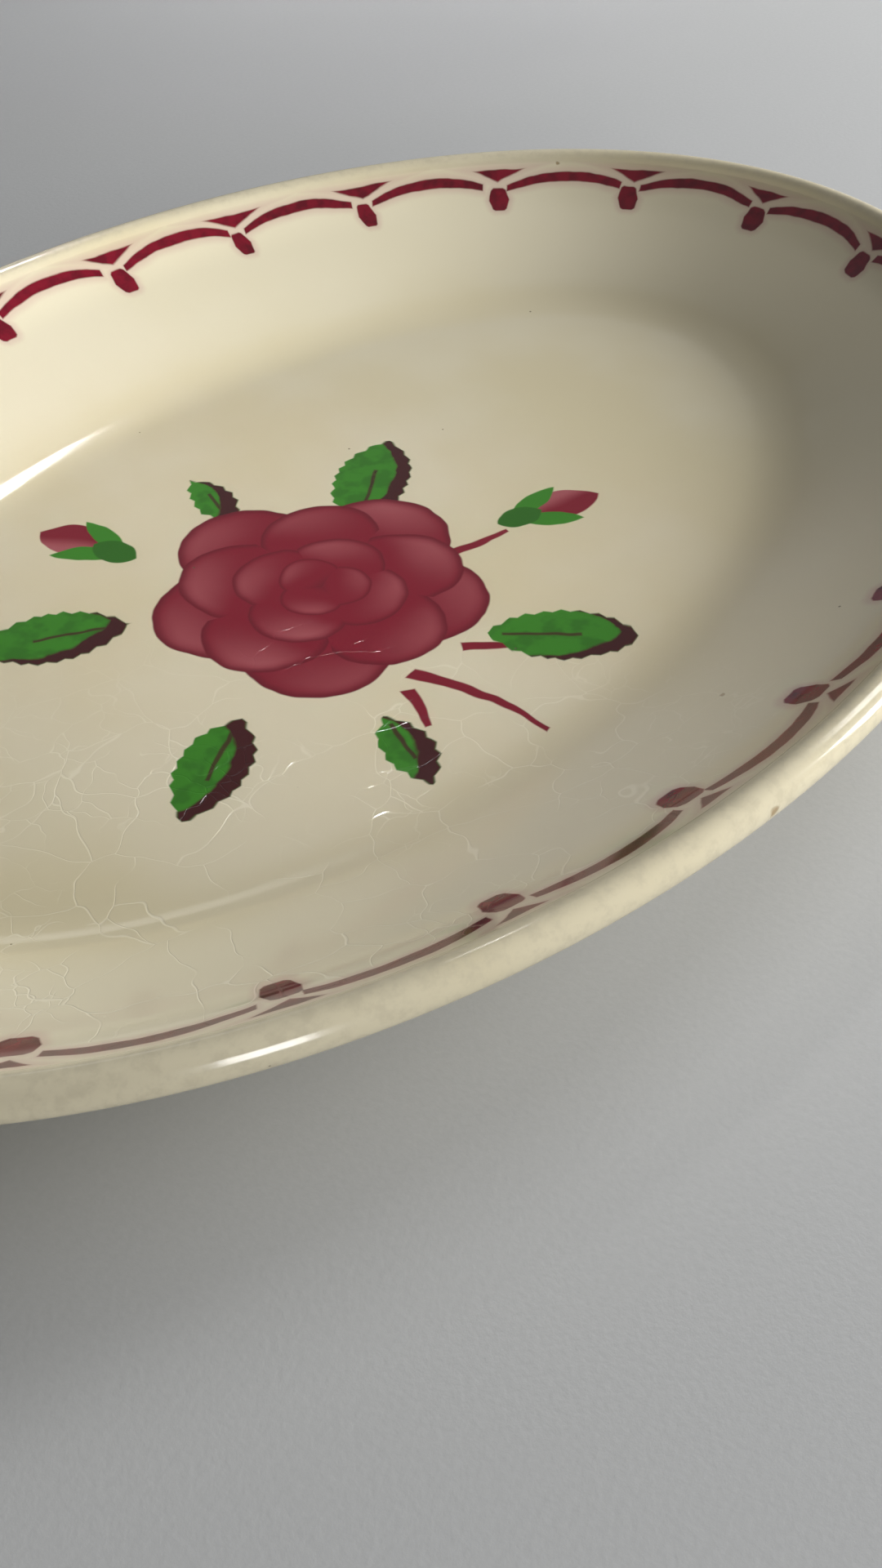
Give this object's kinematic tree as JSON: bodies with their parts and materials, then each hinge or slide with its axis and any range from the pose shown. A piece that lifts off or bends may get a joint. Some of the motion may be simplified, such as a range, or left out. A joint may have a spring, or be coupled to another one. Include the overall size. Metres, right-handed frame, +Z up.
{
  "type": "oval serving dish",
  "caption": "Shallow oval earthenware serving dish with a sloping rim, rounded lip, flat floor and a bare foot ring, glazed inside and out.",
  "frame": {"origin": "centre of the oval, on the plane of the foot ring's standing face", "axes": "+X along the length, +Y along the width, +Z up out of the dish"},
  "size_m": [0.32, 0.222, 0.031],
  "materials": {
    "bare_clay": "matte",
    "cream_glaze": "gloss",
    "dull_glaze": "gloss"
  },
  "bodies": {
    "root": {"earthenware_body": "bare_clay", "upper_glaze": "cream_glaze", "base_glaze": "dull_glaze"}
  },
  "joints": []
}
